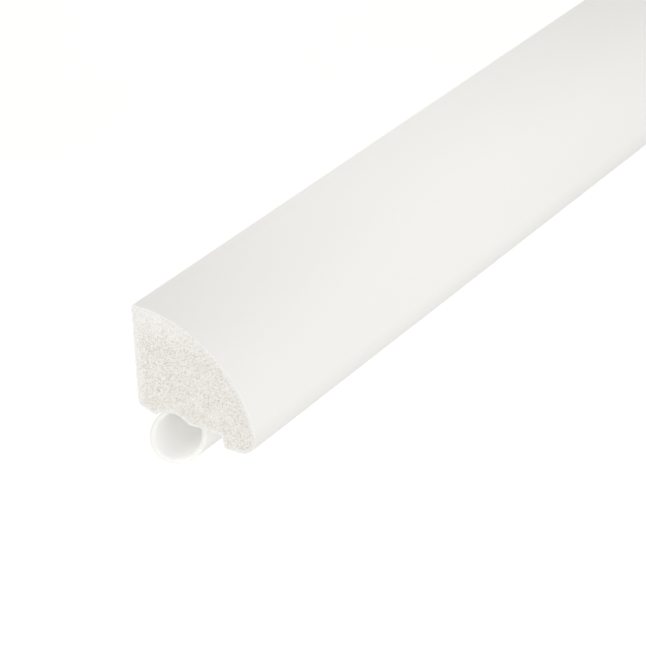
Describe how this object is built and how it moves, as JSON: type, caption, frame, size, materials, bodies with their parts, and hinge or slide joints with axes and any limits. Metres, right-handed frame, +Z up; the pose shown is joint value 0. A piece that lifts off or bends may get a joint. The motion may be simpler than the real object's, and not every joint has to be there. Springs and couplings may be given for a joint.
{
  "type": "door sweep",
  "caption": "Stick-on door sweep: a rounded cellular PVC bar with a drip lip and a hollow soft seal under it.",
  "frame": {"origin": "middle of the taped back face, on the plane that lies against the door", "axes": "+X along the bar, -Y towards the rounded weather side, +Z up the door"},
  "size_m": [0.916, 0.0261, 0.03],
  "materials": {
    "cellular_pvc": "open foamed cells, matte",
    "pvc_skin": "smooth extruded satin",
    "soft_pvc": "soft, slightly translucent satin",
    "clear_adhesive": "cured clear adhesive",
    "foam_tape": "closed cell foam with a tacky face",
    "liner_paper": "silicone coated paper, faintly crinkled"
  },
  "bodies": {
    "moulding": {"foam_core": "cellular_pvc", "outer_skin": "pvc_skin", "seal_bond": "clear_adhesive", "adhesive_tape": "foam_tape"},
    "seal": {"seal_tube": "soft_pvc"},
    "liner": {"release_liner": "liner_paper"}
  },
  "joints": [
    {"name": "seal_press", "type": "slide", "parent": "moulding", "child": "seal", "axis": [0, 0, 1], "range_m": [0, 0.004], "stiffness_N_per_m": 10000, "deforming": ["seal_tube"]},
    {"name": "liner_peel", "type": "slide", "parent": "moulding", "child": "liner", "axis": [0, 1, 0], "range_m": [0, 0.03]}
  ]
}
